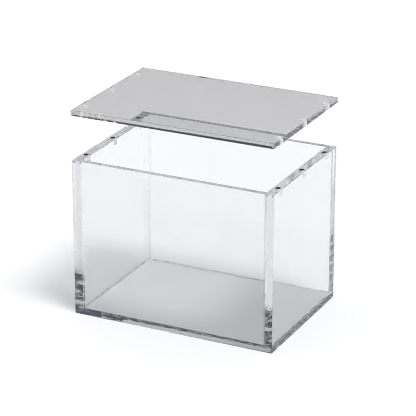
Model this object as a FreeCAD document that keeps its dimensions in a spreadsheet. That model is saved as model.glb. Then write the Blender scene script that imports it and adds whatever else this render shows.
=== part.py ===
# Clear display case: a box of cemented sheet panels under a loose lid plate held down by disc magnets.
# Millimetres, +Z up, front towards -Y, origin at the middle of the underside. The lid is raised at rest.
import FreeCAD, Part
import math
import os

import Sketcher

# Driving dimensions: name, value, what it measures.
SIZES = (
    ("case_width", 170, "outside, left to right"),
    ("case_depth", 118, "outside, front to back"),
    ("wall_height", 123.5, "walls above the base sheet"),
    ("base_thickness", 4.5, "base sheet"),
    ("side_thickness", 7.5, "side wall sheet, thick enough to take a magnet in its edge"),
    ("panel_thickness", 4.5, "front and back sheet"),
    ("lid_thickness", 4.5, "lid sheet"),
    ("lid_lift", 36, "from the wall tops up to the raised lid"),
    ("edge_ease", 0.2, "bevel scraped along each outside edge"),
    ("magnet_diameter", 4, "wall and lid magnets alike"),
    ("wall_magnet_length", 5, "magnet standing in a wall's top edge"),
    ("lid_magnet_length", 2.5, "magnet in the lid's underside"),
    ("magnet_ease", 0.15, "rounded rim of a magnet"),
    ("magnet_end_distance", 16, "from a wall's end to the middle of its nearest magnet"),
    ("pocket_clearance", 0.1, "glue gap round a magnet"),
    ("magnet_recess", 0.1, "magnet face below the sheet's surface"),
)

# Directions away from the middle of the case, and the places along a row of magnets in steps of one pitch.
SIDES = {"left": -1, "right": 1}
ENDS = {"front": -1, "back": 1}
ROW = {"front": -1, "middle": 0, "back": 1}

# Formulas that more than one piece uses.
INNER_WIDTH = "(Sizes.case_width - 2 * Sizes.side_thickness)"
WALL_MIDDLE = "((Sizes.case_width - Sizes.side_thickness) / 2)"
PANEL_MIDDLE = "((Sizes.case_depth - Sizes.panel_thickness) / 2)"
WALL_TOP = "(Sizes.base_thickness + Sizes.wall_height)"
LID_UNDERSIDE = f"({WALL_TOP} + Sizes.lid_lift)"
MAGNET_PITCH = "(Sizes.case_depth / 2 - Sizes.magnet_end_distance)"
POCKET_RADIUS = "(Sizes.magnet_diameter / 2 + Sizes.pocket_clearance)"
WALL_POCKET_DEPTH = "(Sizes.wall_magnet_length + Sizes.magnet_recess)"
LID_POCKET_DEPTH = "(Sizes.lid_magnet_length + Sizes.magnet_recess)"

# Each face of an upright block: the axis it is square to and the side of the bounding box it lies on.
FACES = {
    "left": ("x", "XMin"), "right": ("x", "XMax"),
    "front": ("y", "YMin"), "back": ("y", "YMax"),
    "bottom": ("z", "ZMin"), "top": ("z", "ZMax"),
}

# Sketch points, as numbered on each piece of geometry, and the sketch's own origin.
START, END, MIDDLE = range(1, 4)
ORIGIN = (-1, START)

# How closely two measures agree when they are compared.
SAME = 1e-6

doc = FreeCAD.newDocument("display_case")


# Spreadsheet, bodies and sketches

def fill_sheet():
    """Write the driving dimensions into the spreadsheet."""
    sheet = doc.addObject("Spreadsheet::Sheet", "Sizes")
    for row, (alias, value, note) in enumerate(SIZES, start=1):
        sheet.set(f"A{row}", alias)
        sheet.set(f"B{row}", str(value))
        sheet.set(f"C{row}", note)
        sheet.setAlias(f"B{row}", alias)
    doc.recompute()


def add_body(label, x, y, z):
    """Add a sub-part whose own origin is placed by three formulas."""
    body = doc.addObject("PartDesign::Body", label)
    body.Label = label
    for axis, formula in zip("xyz", (x, y, z)):
        body.setExpression(f"Placement.Base.{axis}", formula)
    return body


def origin_feature(body, role):
    return next(feature for feature in body.Origin.OriginFeatures if feature.Role == role)


def add_sketch(body, name, height):
    """Add a level sketch at a height above the body's own origin."""
    sketch = body.newObject("Sketcher::SketchObject", name)
    sketch.AttachmentSupport = [(origin_feature(body, "XY_Plane"), "")]
    sketch.MapMode = "FlatFace"
    sketch.setExpression("AttachmentOffset.Base.z", height)
    return sketch


def measure(formula):
    """Give the present value of a formula on the spreadsheet."""
    return float(doc.getObject("Sizes").evalExpression(formula.replace("Sizes.", "")))


def bind(sketch, name, constraint, formula):
    """Add a dimension to a sketch and drive it by a formula."""
    index = sketch.addConstraint(constraint)
    sketch.renameConstraint(index, name)
    sketch.setExpression(f"Constraints.{name}", formula)


def draw_rectangle(sketch, width, depth):
    """Draw a rectangle about the sketch's origin."""
    x, y = measure(width) / 2, measure(depth) / 2
    corners = [FreeCAD.Vector(*place, 0) for place in ((-x, -y), (x, -y), (x, y), (-x, y))]
    for line, start in enumerate(corners):
        end = corners[(line + 1) % len(corners)]
        sketch.addGeometry(Part.LineSegment(start, end))
    for line in range(len(corners)):
        following = (line + 1) % len(corners)
        sketch.addConstraint(Sketcher.Constraint("Coincident", line, END, following, START))
        sketch.addConstraint(Sketcher.Constraint("Vertical" if line % 2 else "Horizontal", line))
    bottom, right, top = range(3)
    sketch.addConstraint(Sketcher.Constraint("Symmetric", bottom, START, top, START, *ORIGIN))
    bind(sketch, "width", Sketcher.Constraint("DistanceX", bottom, START, bottom, END, 2 * x), width)
    bind(sketch, "depth", Sketcher.Constraint("DistanceY", right, START, right, END, 2 * y), depth)


def draw_circle(sketch, name, x, y, radius):
    """Draw a circle whose middle is placed by two formulas from the sketch's origin."""
    place = FreeCAD.Vector(measure(x), measure(y), 0)
    size = measure(radius)
    circle = sketch.addGeometry(Part.Circle(place, FreeCAD.Vector(0, 0, 1), size))
    bind(sketch, f"{name}_x", Sketcher.Constraint("DistanceX", *ORIGIN, circle, MIDDLE, place.x), x)
    bind(sketch, f"{name}_y", Sketcher.Constraint("DistanceY", *ORIGIN, circle, MIDDLE, place.y), y)
    bind(sketch, f"{name}_radius", Sketcher.Constraint("Radius", circle, size), radius)


# Features

def add_pad(body, sketch, length):
    """Raise a sketch by a length."""
    pad = body.newObject("PartDesign::Pad", "Blank")
    pad.Profile = sketch
    pad.setExpression("Length", length)
    doc.recompute()
    return pad


def meeting_faces(edge, box):
    """Name the faces of an upright block that meet along one of its edges."""
    middle = edge.CenterOfMass
    return {
        face for face, (axis, side) in FACES.items()
        if math.isclose(getattr(middle, axis), getattr(box, side), abs_tol=SAME)
    }


def ease_edges(body, blank, exposed):
    """Bevel each edge where two of the exposed faces meet."""
    box = blank.Shape.BoundBox
    names = [
        f"Edge{number}" for number, edge in enumerate(blank.Shape.Edges, start=1)
        if meeting_faces(edge, box) <= exposed
    ]
    bevel = body.newObject("PartDesign::Chamfer", "EasedEdges")
    bevel.Base = (blank, names)
    bevel.setExpression("Size", "Sizes.edge_ease")
    doc.recompute()


def drill_pockets(body, sketch, circles, depth, upwards):
    """Drill flat-bottomed magnet pockets and repeat them along the row, checking what was cut away."""
    blank_volume = body.Tip.Shape.Volume
    pocket = body.newObject("PartDesign::Pocket", "MagnetPocket")
    pocket.Profile = sketch
    pocket.Reversed = upwards
    pocket.setExpression("Length", depth)
    row = body.newObject("PartDesign::LinearPattern", "MagnetRow")
    row.Originals = [pocket]
    row.Direction = (origin_feature(body, "Y_Axis"), [""])
    row.Occurrences = len(ROW)
    row.setExpression("Length", f"{len(ROW) - 1} * {MAGNET_PITCH}")
    body.Tip = row
    doc.recompute()
    cut = blank_volume - row.Shape.Volume
    wanted = circles * len(ROW) * math.pi * measure(POCKET_RADIUS) ** 2 * measure(depth)
    if not math.isclose(cut, wanted, rel_tol=SAME):
        raise RuntimeError(f"{body.Label}: pockets cut {cut} instead of {wanted}")


# Sub-parts

def make_sheet(label, plan, height, place, exposed):
    """Make an upright block from its plan, with its exposed edges eased."""
    body = add_body(label, *place)
    sketch = add_sketch(body, "Plan", "0")
    draw_rectangle(sketch, *plan)
    ease_edges(body, add_pad(body, sketch, height), exposed)
    return body


def make_base():
    make_sheet(
        "base_panel", ("Sizes.case_width", "Sizes.case_depth"), "Sizes.base_thickness",
        ("0", "0", "0"), {"left", "right", "front", "back", "bottom"},
    )


def make_side_walls():
    for side, outwards in SIDES.items():
        wall = make_sheet(
            f"side_wall_{side}", ("Sizes.side_thickness", "Sizes.case_depth"), "Sizes.wall_height",
            (f"{outwards} * {WALL_MIDDLE}", "0", "Sizes.base_thickness"), {side, "front", "back", "top"},
        )
        sketch = add_sketch(wall, "PocketPlan", "Sizes.wall_height")
        draw_circle(sketch, "first", "0", f"{ROW['front']} * {MAGNET_PITCH}", POCKET_RADIUS)
        drill_pockets(wall, sketch, 1, WALL_POCKET_DEPTH, upwards=False)


def make_end_panels():
    for end, outwards in ENDS.items():
        make_sheet(
            f"{end}_panel", (INNER_WIDTH, "Sizes.panel_thickness"), "Sizes.wall_height",
            ("0", f"{outwards} * {PANEL_MIDDLE}", "Sizes.base_thickness"), {end, "top"},
        )


def make_lid():
    lid = make_sheet(
        "lid_panel", ("Sizes.case_width", "Sizes.case_depth"), "Sizes.lid_thickness",
        ("0", "0", LID_UNDERSIDE), set(FACES),
    )
    sketch = add_sketch(lid, "PocketPlan", "0")
    for side, outwards in SIDES.items():
        draw_circle(
            sketch, side, f"{outwards} * {WALL_MIDDLE}", f"{ROW['front']} * {MAGNET_PITCH}", POCKET_RADIUS,
        )
    drill_pockets(lid, sketch, len(SIDES), LID_POCKET_DEPTH, upwards=True)


def make_magnet(label, place, length):
    """Make a disc magnet standing on its lower face, with both rims rounded."""
    body = add_body(label, *place)
    sketch = add_sketch(body, "Plan", "0")
    draw_circle(sketch, "disc", "0", "0", "Sizes.magnet_diameter / 2")
    blank = add_pad(body, sketch, length)
    rims = [
        f"Edge{number}" for number, edge in enumerate(blank.Shape.Edges, start=1)
        if isinstance(edge.Curve, Part.Circle)
    ]
    rounding = body.newObject("PartDesign::Fillet", "RoundedRims")
    rounding.Base = (blank, rims)
    rounding.setExpression("Radius", "Sizes.magnet_ease")
    doc.recompute()


def make_magnets():
    """Seat a magnet on the floor of every pocket, those of the lid facing those of the walls."""
    heights = {
        "wall": (f"{WALL_TOP} - {WALL_POCKET_DEPTH}", "Sizes.wall_magnet_length"),
        "lid": (f"{LID_UNDERSIDE} + Sizes.magnet_recess", "Sizes.lid_magnet_length"),
    }
    for holder, (height, length) in heights.items():
        for side, outwards in SIDES.items():
            for spot, step in ROW.items():
                place = (f"{outwards} * {WALL_MIDDLE}", f"{step} * {MAGNET_PITCH}", height)
                make_magnet(f"{holder}_magnet_{side}_{spot}", place, length)


# Checking and writing

def check_document():
    for item in doc.Objects:
        if {"Invalid", "Error"} & set(item.State):
            raise RuntimeError(f"{item.Label}: {item.State}")


def write_parts():
    """Write each sub-part to its own file, once all are known to be sound."""
    bodies = [item for item in doc.Objects if item.TypeId == "PartDesign::Body"]
    for body in bodies:
        shape = body.Shape
        if shape.isNull() or not shape.isValid() or len(shape.Solids) != 1:
            raise RuntimeError(f"{body.Label}: not one sound solid")
    os.makedirs("parts", exist_ok=True)
    for body in bodies:
        body.Shape.exportStep(f"parts/{body.Label}.step")
        box = body.Shape.BoundBox
        print(f"{body.Label}: {body.Shape.Volume:.1f} mm3, z {box.ZMin:.2f} to {box.ZMax:.2f}")


fill_sheet()
make_base()
make_side_walls()
make_end_panels()
make_lid()
make_magnets()
doc.recompute()
check_document()
write_parts()
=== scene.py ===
"""Dress the clear sheet display case and set it on a studio floor."""

from math import cos, radians, sin

import bmesh
import bpy
from bpy.props import FloatProperty, FloatVectorProperty, IntProperty, PointerProperty
from bpy.types import Operator, Panel, PropertyGroup
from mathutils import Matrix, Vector


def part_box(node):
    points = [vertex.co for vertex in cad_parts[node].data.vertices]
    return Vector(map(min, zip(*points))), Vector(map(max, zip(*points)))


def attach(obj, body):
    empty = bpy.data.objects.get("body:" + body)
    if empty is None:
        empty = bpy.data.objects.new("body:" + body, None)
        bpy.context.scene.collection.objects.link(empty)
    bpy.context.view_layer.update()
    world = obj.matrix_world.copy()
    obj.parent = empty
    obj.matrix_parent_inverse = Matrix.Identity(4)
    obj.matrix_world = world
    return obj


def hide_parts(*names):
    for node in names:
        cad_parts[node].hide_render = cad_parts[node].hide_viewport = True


bl_info = {
    "name": "Clear display case",
    "version": (1, 0, 0),
    "blender": (4, 5, 0),
    "location": "3D View > Sidebar > Display Case",
    "description": "Models the sheets of a clear display case with a magnetic lid, and their finishes",
    "category": "Add Mesh",
}

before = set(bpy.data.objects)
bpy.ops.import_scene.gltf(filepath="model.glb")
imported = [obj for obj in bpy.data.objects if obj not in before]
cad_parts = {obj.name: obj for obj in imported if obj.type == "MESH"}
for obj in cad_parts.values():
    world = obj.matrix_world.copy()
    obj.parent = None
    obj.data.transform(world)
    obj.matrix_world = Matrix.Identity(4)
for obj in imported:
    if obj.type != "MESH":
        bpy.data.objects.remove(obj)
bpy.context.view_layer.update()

CASE_SHEETS = ("base_panel", "side_wall_left", "side_wall_right", "front_panel", "back_panel")
SIDES = ("left", "right")
SPOTS = ("front", "middle", "back")
X, Y, Z = range(3)
LOW, HIGH = range(2)
AXIS_LETTERS = "xyz"
MILLIMETRE = 0.001
WHITE = (1.0, 1.0, 1.0)


# Settings that a user would change

class SheetSettings(PropertyGroup):
    """Sizes of what is worked on the sheets."""

    edge_round: FloatProperty(
        name="Edge Round", description="Radius of the eased edges of a sheet",
        default=0.2 * MILLIMETRE, min=0.0, unit="LENGTH",
    )
    edge_steps: IntProperty(
        name="Edge Steps", description="Faces across each eased edge", default=3, min=1,
    )
    joint_film: FloatProperty(
        name="Joint Film", description="Thickness of the cement film between two joined sheets",
        default=0.06 * MILLIMETRE, min=0.0, unit="LENGTH",
    )
    pocket_clearance: FloatProperty(
        name="Pocket Clearance", description="Gap around a magnet in its drilled pocket",
        default=0.1 * MILLIMETRE, min=0.0, unit="LENGTH",
    )
    pocket_sides: IntProperty(
        name="Pocket Sides", description="Faces around a drilled pocket", default=48, min=12,
    )


class FinishSettings(PropertyGroup):
    """Colours and optics of the finishes."""

    acrylic_ior: FloatProperty(
        name="Acrylic IOR", description="Refractive index of cast acrylic", default=1.49, min=1.0,
    )
    sheet_tint: FloatVectorProperty(
        name="Sheet Tint", description="What one sheet of the case lets through",
        default=(0.925, 0.937, 0.942), size=3, min=0.0, max=1.0, subtype="COLOR",
    )
    # Partly painted shade: the lid's faint real tint is darkened further so that the lid renders grey
    lid_tint_and_shade: FloatVectorProperty(
        name="Lid Tint", description="What the lid sheet lets through",
        default=(0.80, 0.79, 0.79), size=3, min=0.0, max=1.0, subtype="COLOR",
    )
    edge_share: FloatProperty(
        name="Edge Share",
        description="Share of a level sheet's tint that the long way through its edges leaves",
        default=0.72, min=0.0, max=1.0,
    )
    wall_edge_share: FloatProperty(
        name="Wall Edge Share", description="The same for the edges of an upright sheet",
        default=0.8, min=0.0, max=1.0,
    )
    edge_marks: FloatProperty(
        name="Edge Marks", description="Depth of the marks along a cut edge",
        default=0.002 * MILLIMETRE, min=0.0, unit="LENGTH",
    )
    wall_marks: FloatProperty(
        name="Wall Marks", description="Depth of the marks along the cut edges of the thick side walls",
        default=0.02 * MILLIMETRE, min=0.0, unit="LENGTH",
    )
    wall_shade: FloatProperty(
        name="Wall Shade", description="Lamp light that passes each upright face",
        default=0.74, min=0.0, max=1.0,
    )
    level_shade: FloatProperty(
        name="Level Shade", description="Lamp light that passes each level face, edge or joint",
        default=0.985, min=0.0, max=1.0,
    )
    frost: FloatVectorProperty(
        name="Frost", description="Colour of the ground walls of a drilled pocket",
        default=(0.97, 0.975, 0.98), size=3, min=0.0, max=1.0, subtype="COLOR",
    )
    magnet_coat: FloatVectorProperty(
        name="Magnet Coat", description="Colour of the coating on the magnets",
        default=(0.003, 0.003, 0.0035), size=3, min=0.0, max=1.0, subtype="COLOR",
    )


class StageSettings(PropertyGroup):
    """Camera, light and floor."""

    camera_azimuth: FloatProperty(
        name="Camera Azimuth", description="How far the camera stands to the right of the front",
        default=radians(26.17), subtype="ANGLE",
    )
    camera_elevation: FloatProperty(
        name="Camera Elevation", description="How far above the horizon the camera stands",
        default=radians(21.59), subtype="ANGLE",
    )
    camera_distance: FloatProperty(
        name="Camera Distance", description="From the camera to the point that it aims at",
        default=1.6758, min=0.1, unit="LENGTH",
    )
    camera_aim: FloatVectorProperty(
        name="Camera Aim", description="Point in the middle of the picture",
        default=(0.0023, 0.0, 0.083), size=3, subtype="TRANSLATION",
    )
    camera_sensor: FloatProperty(
        name="Camera Sensor", description="Width of the sensor, in millimetres", default=36.0, min=1.0,
    )
    camera_lens: FloatProperty(
        name="Camera Lens", description="Focal length on that sensor, in millimetres",
        default=186.1, min=1.0,
    )
    key_azimuth: FloatProperty(
        name="Key Azimuth", description="How far the key light stands to the right of the front",
        default=radians(72.0), subtype="ANGLE",
    )
    key_elevation: FloatProperty(
        name="Key Elevation", description="How far above the horizon the key light stands",
        default=radians(62.0), subtype="ANGLE",
    )
    key_spread: FloatProperty(
        name="Key Spread", description="Width of the key light as seen from the case",
        default=radians(20.0), subtype="ANGLE",
    )
    key_strength: FloatProperty(
        name="Key Strength", description="Light that falls square on a surface facing the key",
        default=2.65, min=0.0,
    )
    room_grey: FloatVectorProperty(
        name="Room Grey", description="Colour of the dim room above the floor",
        default=(0.050, 0.064, 0.092), size=3, min=0.0, max=1.0, subtype="COLOR",
    )
    overhead: FloatProperty(
        name="Overhead", description="Brightness of the broad soft light overhead", default=0.55, min=0.0,
    )
    floor_white: FloatVectorProperty(
        name="Floor White", description="Colour of the floor",
        default=(0.96, 0.96, 0.96), size=3, min=0.0, max=1.0, subtype="COLOR",
    )


# Modelling by hand

def start_clean():
    """Leave nothing selected, as the frame loads with its nodes selected."""
    if bpy.context.mode != "OBJECT":
        bpy.ops.object.mode_set(mode="OBJECT")
    bpy.ops.object.select_all(action="DESELECT")


def settle(name):
    """Name the new piece and put its place and size into its mesh."""
    piece = bpy.context.active_object
    piece.name = piece.data.name = name
    bpy.ops.object.transform_apply(location=True, rotation=True, scale=True)
    return piece


def add_block(name, low, high):
    """A plain block between two corners, to be worked into a sheet."""
    start_clean()
    bpy.ops.mesh.primitive_cube_add(size=1.0, location=(low + high) / 2, scale=high - low)
    return settle(name)


def edit(piece):
    """Open the piece in edit mode and hand out its mesh."""
    start_clean()
    piece.select_set(True)
    bpy.context.view_layer.objects.active = piece
    bpy.ops.object.mode_set(mode="EDIT")
    return bmesh.from_edit_mesh(piece.data)


def by_axis(axis, on_axis, elsewhere):
    """A value for each of the three axes: the first for the axis that is named, the second for the rest."""
    return [on_axis if a == axis else elsewhere for a in range(3)]


def inside(point, box, reach=0.0):
    """True if a point lies in a box that is grown by reach on all sides."""
    low, high = box
    return all(low[a] - reach < point[a] < high[a] + reach for a in range(3))


def joint_reach(settings):
    """How near to another sheet a face or an edge counts as joined to it."""
    return 2 * settings.joint_film


def ease_edges(piece, neighbours, settings):
    """Round the edges that don't touch another sheet. At a joint they stay square."""
    mesh = edit(piece)
    bpy.ops.mesh.select_mode(type="EDGE")
    bpy.ops.mesh.select_all(action="DESELECT")
    for edge in mesh.edges:
        middle = (edge.verts[0].co + edge.verts[1].co) / 2
        edge.select_set(not any(inside(middle, box, joint_reach(settings)) for box in neighbours))
    bmesh.update_edit_mesh(piece.data)
    bpy.ops.mesh.bevel(offset=settings.edge_round, segments=settings.edge_steps, affect="EDGES")
    bpy.ops.object.mode_set(mode="OBJECT")


def score(piece, lines):
    """Mark where the neighbours meet the sheet, so that the joints are faces of their own."""
    for axis, where in lines:
        edit(piece)
        bpy.ops.mesh.select_all(action="SELECT")
        bpy.ops.mesh.bisect(plane_co=by_axis(axis, where, 0.0), plane_no=by_axis(axis, 1.0, 0.0))
        bpy.ops.object.mode_set(mode="OBJECT")


def add_rod(node, low, high, settings):
    """A rod that drills a magnet's pocket from the nearer face, and stands out of it as far again."""
    magnet_low, magnet_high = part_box(node)
    radius = (magnet_high.x - magnet_low.x) / 2 + settings.pocket_clearance
    if high.z - magnet_high.z < magnet_low.z - low.z:
        bottom, top = magnet_low.z - settings.joint_film, 2 * high.z - magnet_low.z
    else:
        bottom, top = 2 * low.z - magnet_high.z, magnet_high.z + settings.joint_film
    middle = (magnet_low + magnet_high) / 2
    middle.z = (bottom + top) / 2
    bpy.ops.mesh.primitive_cylinder_add(
        vertices=settings.pocket_sides, radius=radius, depth=top - bottom, location=middle,
    )
    return bpy.context.active_object


def drill_pockets(piece, magnets, low, high, settings):
    """Drill a blind pocket for each magnet, all in one cut."""
    start_clean()
    rods = [add_rod(node, low, high, settings) for node in magnets]
    for rod in rods:
        rod.select_set(True)
    bpy.ops.object.join()
    drill = settle("drill")
    cut = piece.modifiers.new("pockets", "BOOLEAN")
    cut.operation = "DIFFERENCE"
    cut.solver = "MANIFOLD"
    cut.object = drill
    bpy.context.view_layer.objects.active = piece
    bpy.ops.object.modifier_apply(modifier=cut.name)
    bpy.data.objects.remove(drill)


def longest_axis(mesh, face):
    """The axis that a face is longest along."""
    corners = [mesh.vertices[i].co for i in face.vertices]
    return max(range(3), key=lambda a: max(c[a] for c in corners) - min(c[a] for c in corners))


# Parts of a face's normal along an axis from which the face counts as square to it, or as facing up, where
# an upright sheet's edge is painted lighter
SQUARE_FROM = 0.99
UPWARD_FROM = 0.7


def finish_sheet(piece, node, neighbours, kind, settings, finish):
    """Give each face of a sheet its finish: polished face, cut edge, ground pocket or cemented joint."""
    low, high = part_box(node)
    thick = min(range(3), key=lambda a: high[a] - low[a])
    skin = joint_reach(settings)
    used = []
    piece.data.materials.clear()
    for face in piece.data.polygons:
        beyond = face.center + face.normal * skin
        if inside(face.center, (low, high), -skin):
            material = drilled_frost(finish)
        elif any(inside(beyond, box) for box in neighbours):
            material = cement_film(longest_axis(piece.data, face), finish)
        elif abs(face.normal[thick]) > SQUARE_FROM:
            material = polished_face(kind, thick, finish)
        else:
            # Painted light: the top edges of upright sheets get an untinted, lighter finish
            material = cut_edge(kind, thick, finish, upward=thick != Z and face.normal.z > UPWARD_FROM)
        if material not in used:
            used.append(material)
            piece.data.materials.append(material)
        face.material_index = used.index(material)


def make_sheet(name, node, context, meets=(), lines=(), magnets=(), kind="sheet"):
    """One sheet in the place of its node: eased, scored, drilled and finished.

    It is held back by a film on the sides, given as (axis, end), where it meets another sheet.
    """
    settings, finish = context.scene.case_sheets, context.scene.case_finish
    low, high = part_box(node)
    for axis, end in meets:
        if end == LOW:
            low[axis] += settings.joint_film
        else:
            high[axis] -= settings.joint_film
    cemented = CASE_SHEETS if node in CASE_SHEETS else ()
    neighbours = [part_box(other) for other in cemented if other != node]
    piece = add_block(name, low, high)
    ease_edges(piece, neighbours, settings)
    score(piece, lines)
    if magnets:
        drill_pockets(piece, magnets, low, high, settings)
    finish_sheet(piece, node, neighbours, kind, settings, finish)
    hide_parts(node)
    return piece


def inner_lines(*axes):
    """Where the inner faces of the walls lie, as (axis, place)."""
    lines = {
        X: (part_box("side_wall_left")[HIGH].x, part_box("side_wall_right")[LOW].x),
        Y: (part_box("front_panel")[HIGH].y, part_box("back_panel")[LOW].y),
    }
    return [(axis, where) for axis in axes for where in lines[axis]]


def magnet_names(holder, sides=SIDES):
    """The nodes of the magnets in the walls or in the lid."""
    return [f"{holder}_magnet_{side}_{spot}" for side in sides for spot in SPOTS]


# Shader nodes

# Sockets of a Mix node that mixes colours
MIX_MASK, MIX_FIRST, MIX_SECOND, MIX_RESULT = 0, 6, 7, 2


def add_node(tree, kind, inputs=None, **settings):
    """Add a node. An input that is a socket is linked, and any other is set."""
    node = tree.nodes.new(kind)
    for name, value in settings.items():
        setattr(node, name, value)
    for key, value in (inputs or {}).items():
        if isinstance(value, bpy.types.NodeSocket):
            tree.links.new(value, node.inputs[key])
        else:
            node.inputs[key].default_value = value
    return node


def calculate(tree, operation, *values):
    """The result of a sum on values or sockets."""
    return add_node(tree, "ShaderNodeMath", dict(enumerate(values)), operation=operation).outputs[0]


def spread(tree, value, to_range, from_range=(0.0, 1.0)):
    """Map a value from one range to another, with soft ends."""
    ends = zip(("From Min", "From Max", "To Min", "To Max"), (*from_range, *to_range))
    inputs = {"Value": value, **dict(ends)}
    return add_node(tree, "ShaderNodeMapRange", inputs, interpolation_type="SMOOTHSTEP").outputs[0]


def blend(tree, mask, first, second):
    """A colour that goes from the first to the second with the mask."""
    inputs = {MIX_MASK: mask, MIX_FIRST: (*first, 1.0), MIX_SECOND: (*second, 1.0)}
    return add_node(tree, "ShaderNodeMix", inputs, data_type="RGBA").outputs[MIX_RESULT]


def bumped(tree, height, depth):
    """The normal of a surface that stands up to a depth proud where the height is 1."""
    inputs = {"Height": height, "Strength": 1.0, "Distance": depth}
    return add_node(tree, "ShaderNodeBump", inputs).outputs[0]


def dimmed(colour, share):
    """A share of a colour."""
    return [share * part for part in colour]


def new_group(name, inputs, outputs):
    """An empty node group with these sockets, with its inputs and its Object coordinates."""
    tree = bpy.data.node_groups.new(name, "ShaderNodeTree")
    for socket, kind in inputs.items():
        tree.interface.new_socket(socket, in_out="INPUT", socket_type=kind)
    for socket in outputs:
        tree.interface.new_socket(socket, in_out="OUTPUT", socket_type="NodeSocketFloat")
    where = add_node(tree, "ShaderNodeTexCoord").outputs["Object"]
    return tree, add_node(tree, "NodeGroupInput").outputs, where


# Levels of the noise between which a patch of haze fades in
HAZE_FADE = (0.45, 0.75)


def haze_group():
    """Where a surface has been handled: soft patches, with slow waves under them."""
    name = "Handling Haze"
    if name in bpy.data.node_groups:
        return bpy.data.node_groups[name]
    tree, inputs, where = new_group(name, {"Patch Size": "NodeSocketFloat"}, ("Mask", "Height"))
    scale = calculate(tree, "DIVIDE", 1.0, inputs["Patch Size"])
    patches = add_node(tree, "ShaderNodeTexNoise", {"Vector": where, "Scale": scale, "Detail": 3.0})
    waves = add_node(tree, "ShaderNodeTexNoise", {"Vector": where, "Scale": scale, "Detail": 0.0})
    mask = spread(tree, patches.outputs[0], (0.0, 1.0), HAZE_FADE)
    add_node(tree, "NodeGroupOutput", {"Mask": mask, "Height": waves.outputs[0]})
    return tree


# A line runs where the noise is near its middle, and fades out between these distances from it
NOISE_MIDDLE = 0.5
LINE_FADE = (0.008, 0.045)


def streak_group():
    """Streaks, as many to the metre along each axis as the stretch says, and lines along them."""
    name = "Streaks"
    if name in bpy.data.node_groups:
        return bpy.data.node_groups[name]
    tree, inputs, where = new_group(
        name, {"Stretch": "NodeSocketVector", "Wander": "NodeSocketFloat"}, ("Height", "Lines"),
    )
    factors = {0: where, 1: inputs["Stretch"]}
    stretched = add_node(tree, "ShaderNodeVectorMath", factors, operation="MULTIPLY")
    noise = add_node(tree, "ShaderNodeTexNoise", {
        "Vector": stretched.outputs[0], "Scale": 1.0, "Detail": 2.0, "Distortion": inputs["Wander"],
    })
    away = calculate(tree, "ABSOLUTE", calculate(tree, "SUBTRACT", noise.outputs[0], NOISE_MIDDLE))
    lines = spread(tree, away, (1.0, 0.0), LINE_FADE)
    add_node(tree, "NodeGroupOutput", {"Height": noise.outputs[0], "Lines": lines})
    return tree


# Finishes

def new_material(name):
    """An empty node material and its node tree."""
    material = bpy.data.materials.new(name)
    material.use_nodes = True
    material.node_tree.nodes.clear()
    return material, material.node_tree


def show(tree, shader):
    """Make a shader the surface of its material."""
    add_node(tree, "ShaderNodeOutputMaterial", {"Surface": shader.outputs[0]})


def show_clear(tree, shader, shade):
    """Let lamps shine through a clear surface, dimmed by a shade, so that what stands behind it is lit."""
    path = add_node(tree, "ShaderNodeLightPath").outputs
    lit = calculate(tree, "MAXIMUM", path["Is Shadow Ray"], path["Is Diffuse Ray"])
    through = add_node(tree, "ShaderNodeBsdfTransparent", {"Color": (shade, shade, shade, 1.0)})
    show(tree, add_node(tree, "ShaderNodeMixShader", {0: lit, 1: shader.outputs[0], 2: through.outputs[0]}))


def acrylic(tree, finish, colour, roughness, **more):
    """Clear acrylic, which bends the light that it lets through."""
    return add_node(tree, "ShaderNodeBsdfPrincipled", {
        "Base Color": colour, "Roughness": roughness, "IOR": finish.acrylic_ior, "Transmission Weight": 1.0,
        **more,
    })


def tint_of(kind, finish):
    """What a sheet of this kind lets through; for the lid this is a faint real tint darkened with painted
    shade.
    """
    return finish.lid_tint_and_shade if kind == "lid" else finish.sheet_tint


FACE_PATCH = 50 * MILLIMETRE
FACE_WAVE_DEPTH = 0.004 * MILLIMETRE
FACE_HAZE_SHARE = 0.985
FACE_ROUGHNESS = (0.0, 0.02)


def polished_face(kind, thick, finish):
    """The wide, polished face of a cast sheet, with the faintest waves and haze."""
    name = f"{kind}_face_{AXIS_LETTERS[thick]}"
    if name in bpy.data.materials:
        return bpy.data.materials[name]
    material, tree = new_material(name)
    haze = add_node(tree, "ShaderNodeGroup", {"Patch Size": FACE_PATCH}, node_tree=haze_group()).outputs
    tint = tint_of(kind, finish)
    colour = blend(tree, haze["Mask"], tint, dimmed(tint, FACE_HAZE_SHARE))
    roughness = spread(tree, haze["Mask"], FACE_ROUGHNESS)
    normal = bumped(tree, haze["Height"], FACE_WAVE_DEPTH)
    shade = finish.level_shade if thick == Z else finish.wall_shade
    show_clear(tree, acrylic(tree, finish, colour, roughness, Normal=normal), shade)
    return material


EDGE_LINE_SHARE = 0.94
EDGE_ROUGHNESS = (0.0, 0.05)
# Lines to the metre across and along a cut edge
EDGE_LINES_ACROSS = 1100.0
EDGE_LINES_ALONG = 8.0


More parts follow.
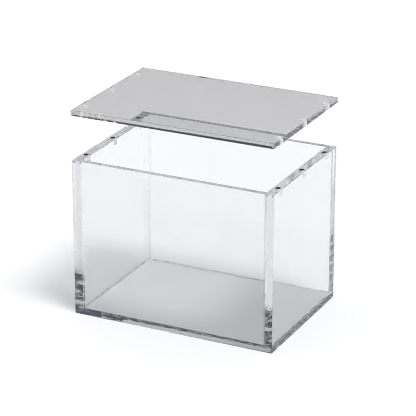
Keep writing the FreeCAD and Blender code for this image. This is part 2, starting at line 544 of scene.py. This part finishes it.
def cut_edge(kind, thick, finish, upward):
    """The cut and polished edge of a sheet, with faint lines along its length. The top edges of upright
    sheets are painted light: left untinted, they render lighter than the other edges.
    """
    name = f"{kind}_{'top' if upward else 'edge'}_{AXIS_LETTERS[thick]}"
    if name in bpy.data.materials:
        return bpy.data.materials[name]
    material, tree = new_material(name)
    stretch = by_axis(thick, EDGE_LINES_ACROSS, EDGE_LINES_ALONG)
    streaks = add_node(tree, "ShaderNodeGroup", {"Stretch": stretch}, node_tree=streak_group()).outputs
    share = finish.edge_share if thick == Z else finish.wall_edge_share
    # Painted light: a top edge of an upright sheet takes plain white instead of the dimmed edge tint
    tint = WHITE if upward else dimmed(tint_of(kind, finish), share)
    colour = blend(tree, streaks["Height"], tint, dimmed(tint, EDGE_LINE_SHARE))
    roughness = spread(tree, streaks["Height"], EDGE_ROUGHNESS)
    normal = bumped(tree, streaks["Height"], finish.wall_marks if thick == X else finish.edge_marks)
    show_clear(tree, acrylic(tree, finish, colour, roughness, Normal=normal), finish.level_shade)
    return material


FILM_WANDER = 0.8
AIR_ROUGHNESS = (0.1, 0.5)
# Streaks to the metre along and across an upright joint, and a level one
UPRIGHT_FILM_STREAKS = (14.0, 600.0)
LEVEL_FILM_STREAKS = (160.0, 480.0)
# Heights of the streaks between which trapped air begins, and over which it roughens
AIR_FADE = (0.55, 0.575)
AIR_ROUGHENING = (0.55, 0.66)


def cement_film(along, finish):
    """A cemented joint: light passes it unbent, but for the patches of trapped air that run along it."""
    name = f"cement_film_{AXIS_LETTERS[along]}"
    if name in bpy.data.materials:
        return bpy.data.materials[name]
    material, tree = new_material(name)
    stretch = by_axis(along, *(UPRIGHT_FILM_STREAKS if along == Z else LEVEL_FILM_STREAKS))
    inputs = {"Stretch": stretch, "Wander": FILM_WANDER}
    streaks = add_node(tree, "ShaderNodeGroup", inputs, node_tree=streak_group()).outputs
    colour = blend(tree, streaks["Lines"], finish.sheet_tint, WHITE)
    roughness = spread(tree, streaks["Height"], AIR_ROUGHNESS, AIR_ROUGHENING)
    air = spread(tree, streaks["Height"], (0.0, 1.0), AIR_FADE)
    show_clear(tree, acrylic(tree, finish, colour, roughness, Alpha=air), finish.level_shade)
    return material


FROST_PATCH = 0.8 * MILLIMETRE
FROST_DARK_SHARE = 0.8
FROST_ROUGHNESS = (0.5, 0.75)


def drilled_frost(finish):
    """The ground wall and floor of a drilled pocket."""
    name = "drilled_frost"
    if name in bpy.data.materials:
        return bpy.data.materials[name]
    material, tree = new_material(name)
    haze = add_node(tree, "ShaderNodeGroup", {"Patch Size": FROST_PATCH}, node_tree=haze_group()).outputs
    colour = blend(tree, haze["Mask"], finish.frost, dimmed(finish.frost, FROST_DARK_SHARE))
    roughness = spread(tree, haze["Mask"], FROST_ROUGHNESS)
    show(tree, add_node(tree, "ShaderNodeBsdfPrincipled", {"Base Color": colour, "Roughness": roughness}))
    return material


COAT_PATCH = 1.0 * MILLIMETRE
COAT_WORN_SHARE = 2.5
COAT_ROUGHNESS = (0.45, 0.65)
COAT_GLOSS = 0.1


def black_coat(finish):
    """The dull black coating of a magnet, a little uneven."""
    material, tree = new_material("magnet_coat")
    haze = add_node(tree, "ShaderNodeGroup", {"Patch Size": COAT_PATCH}, node_tree=haze_group()).outputs
    colour = blend(tree, haze["Mask"], finish.magnet_coat, dimmed(finish.magnet_coat, COAT_WORN_SHARE))
    roughness = spread(tree, haze["Mask"], COAT_ROUGHNESS)
    show(tree, add_node(tree, "ShaderNodeBsdfPrincipled", {
        "Base Color": colour, "Roughness": roughness, "Specular IOR Level": COAT_GLOSS,
    }))
    return material


# The stage

FLOOR_SIDE = 20.0
FLOOR_GAP = 0.15 * MILLIMETRE
# Sines of the elevations at which the white horizon ends, the dim room begins and ends, and the light begins
HORIZON_END = 0.1
ROOM_START = 0.2
ROOM_END = 0.6
OVERHEAD_START = 0.8
# Faces that light is followed through, and the width in pixels that a sample is spread over
LIGHT_STEPS = 96
PIXEL_SPREAD = 1.0


def towards(azimuth, elevation):
    """The direction from the case to something that stands at this azimuth and elevation."""
    level = cos(elevation)
    return Vector((sin(azimuth) * level, -cos(azimuth) * level, sin(elevation)))


def make_floor(stage):
    """A matte white floor that lies just under the case."""
    start_clean()
    bpy.ops.mesh.primitive_plane_add(size=FLOOR_SIDE, location=(0.0, 0.0, -FLOOR_GAP))
    floor = settle("floor")
    material, tree = new_material("floor_paper")
    show(tree, add_node(tree, "ShaderNodeBsdfDiffuse", {"Color": (*stage.floor_white, 1.0)}))
    floor.data.materials.append(material)


def make_room(scene, stage):
    """A dim room with a white horizon and a broad soft light overhead."""
    world = bpy.data.worlds.new("room")
    world.use_nodes = True
    tree = world.node_tree
    tree.nodes.clear()
    direction = add_node(tree, "ShaderNodeTexCoord").outputs["Generated"]
    height = add_node(tree, "ShaderNodeSeparateXYZ", {"Vector": direction}).outputs["Z"]
    ramp = add_node(tree, "ShaderNodeValToRGB", {"Fac": height})
    steps = ramp.color_ramp.elements
    overhead = dimmed(WHITE, stage.overhead)
    steps[0].position = HORIZON_END
    steps[0].color = (*WHITE, 1.0)
    steps[1].color = (*overhead, 1.0)
    for start, colour in (
        (ROOM_START, stage.room_grey), (ROOM_END, stage.room_grey), (OVERHEAD_START, overhead),
    ):
        steps.new(start).color = (*colour, 1.0)
    light = add_node(tree, "ShaderNodeBackground", {"Color": ramp.outputs[0]})
    add_node(tree, "ShaderNodeOutputWorld", {"Surface": light.outputs[0]})
    scene.world = world


def make_key(stage):
    """A broad key light from the right."""
    lamp = bpy.data.lights.new("key", "SUN")
    lamp.energy = stage.key_strength
    lamp.angle = stage.key_spread
    key = bpy.data.objects.new("key", lamp)
    bpy.context.collection.objects.link(key)
    key.rotation_euler = towards(stage.key_azimuth, stage.key_elevation).to_track_quat("Z", "Y").to_euler()


def make_camera(scene, stage):
    """A long lens at the picture's own viewing angle."""
    lens = bpy.data.cameras.new("camera")
    lens.lens = stage.camera_lens
    lens.sensor_width = stage.camera_sensor
    camera = bpy.data.objects.new("camera", lens)
    bpy.context.collection.objects.link(camera)
    back = towards(stage.camera_azimuth, stage.camera_elevation)
    camera.location = Vector(stage.camera_aim) + back * stage.camera_distance
    camera.rotation_euler = (radians(90.0) - stage.camera_elevation, 0.0, stage.camera_azimuth)
    scene.camera = camera


def set_optics(scene):
    """Follow light through many faces, leave out the specks that it throws and keep edges crisp."""
    scene.view_settings.view_transform = "Standard"
    scene.cycles.filter_width = PIXEL_SPREAD
    scene.cycles.max_bounces = LIGHT_STEPS
    scene.cycles.glossy_bounces = LIGHT_STEPS
    scene.cycles.transmission_bounces = LIGHT_STEPS
    scene.cycles.transparent_max_bounces = LIGHT_STEPS
    scene.cycles.caustics_refractive = False
    scene.cycles.caustics_reflective = False


# Operators

class CASE_OT_base(Operator):
    """Model the base sheet that the walls stand on."""

    bl_idname = "case.base"
    bl_label = "Base Sheet"

    def execute(self, context):
        piece = make_sheet("base_sheet", "base_panel", context, lines=inner_lines(X, Y))
        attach(piece, "case")
        return {"FINISHED"}


class CASE_OT_side_walls(Operator):
    """Model the two thick side walls with the magnet pockets in their tops."""

    bl_idname = "case.side_walls"
    bl_label = "Side Walls"

    def execute(self, context):
        for side in SIDES:
            piece = make_sheet(
                f"{side}_wall_sheet", f"side_wall_{side}", context, meets={(Z, LOW)}, lines=inner_lines(Y),
                magnets=magnet_names("wall", [side]),
            )
            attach(piece, "case")
        return {"FINISHED"}


class CASE_OT_end_panels(Operator):
    """Model the front and back sheets that stand between the side walls."""

    bl_idname = "case.end_panels"
    bl_label = "Front and Back Sheets"

    def execute(self, context):
        for end in ("front", "back"):
            meets = {(Z, LOW), (X, LOW), (X, HIGH)}
            piece = make_sheet(f"{end}_sheet", f"{end}_panel", context, meets=meets)
            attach(piece, "case")
        return {"FINISHED"}


class CASE_OT_lid(Operator):
    """Model the loose lid with the magnet pockets in its underside, which meets the walls when shut."""

    bl_idname = "case.lid"
    bl_label = "Lid Sheet"

    def execute(self, context):
        piece = make_sheet(
            "lid_sheet", "lid_panel", context, meets={(Z, LOW)}, magnets=magnet_names("lid"), kind="lid",
        )
        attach(piece, "lid")
        return {"FINISHED"}


class CASE_OT_magnets(Operator):
    """Give the disc magnets their black coating."""

    bl_idname = "case.magnets"
    bl_label = "Magnets"

    def execute(self, context):
        coat = black_coat(context.scene.case_finish)
        for node in magnet_names("wall") + magnet_names("lid"):
            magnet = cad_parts[node]
            if not magnet.material_slots:
                magnet.data.materials.append(coat)
            for slot in magnet.material_slots:
                slot.material = coat
        return {"FINISHED"}


class CASE_OT_stage(Operator):
    """Set up the floor, the light and the camera."""

    bl_idname = "case.stage"
    bl_label = "Stage"

    def execute(self, context):
        stage = context.scene.case_stage
        make_floor(stage)
        make_room(context.scene, stage)
        make_key(stage)
        make_camera(context.scene, stage)
        set_optics(context.scene)
        return {"FINISHED"}


class CASE_PT_sidebar(Panel):
    """Lists the pieces of the case and their settings."""

    bl_idname = "CASE_PT_sidebar"
    bl_label = "Display Case"
    bl_space_type = "VIEW_3D"
    bl_region_type = "UI"
    bl_category = "Display Case"

    def draw(self, context):
        for operator in PIECES:
            self.layout.operator(operator.bl_idname)
        for settings in (context.scene.case_sheets, context.scene.case_finish, context.scene.case_stage):
            box = self.layout.box()
            for name in settings.__annotations__:
                box.prop(settings, name)


SETTINGS = (SheetSettings, FinishSettings, StageSettings)
PIECES = (
    CASE_OT_base, CASE_OT_side_walls, CASE_OT_end_panels, CASE_OT_lid, CASE_OT_magnets, CASE_OT_stage,
)
CLASSES = SETTINGS + PIECES + (CASE_PT_sidebar,)


def register():
    for kind in CLASSES:
        bpy.utils.register_class(kind)
    bpy.types.Scene.case_sheets = PointerProperty(type=SheetSettings)
    bpy.types.Scene.case_finish = PointerProperty(type=FinishSettings)
    bpy.types.Scene.case_stage = PointerProperty(type=StageSettings)


def unregister():
    del bpy.types.Scene.case_stage
    del bpy.types.Scene.case_finish
    del bpy.types.Scene.case_sheets
    for kind in reversed(CLASSES):
        bpy.utils.unregister_class(kind)


def main():
    register()
    bpy.ops.case.base()
    bpy.ops.case.side_walls()
    bpy.ops.case.end_panels()
    bpy.ops.case.lid()
    bpy.ops.case.magnets()
    bpy.ops.case.stage()


if __name__ == "__main__":
    main()
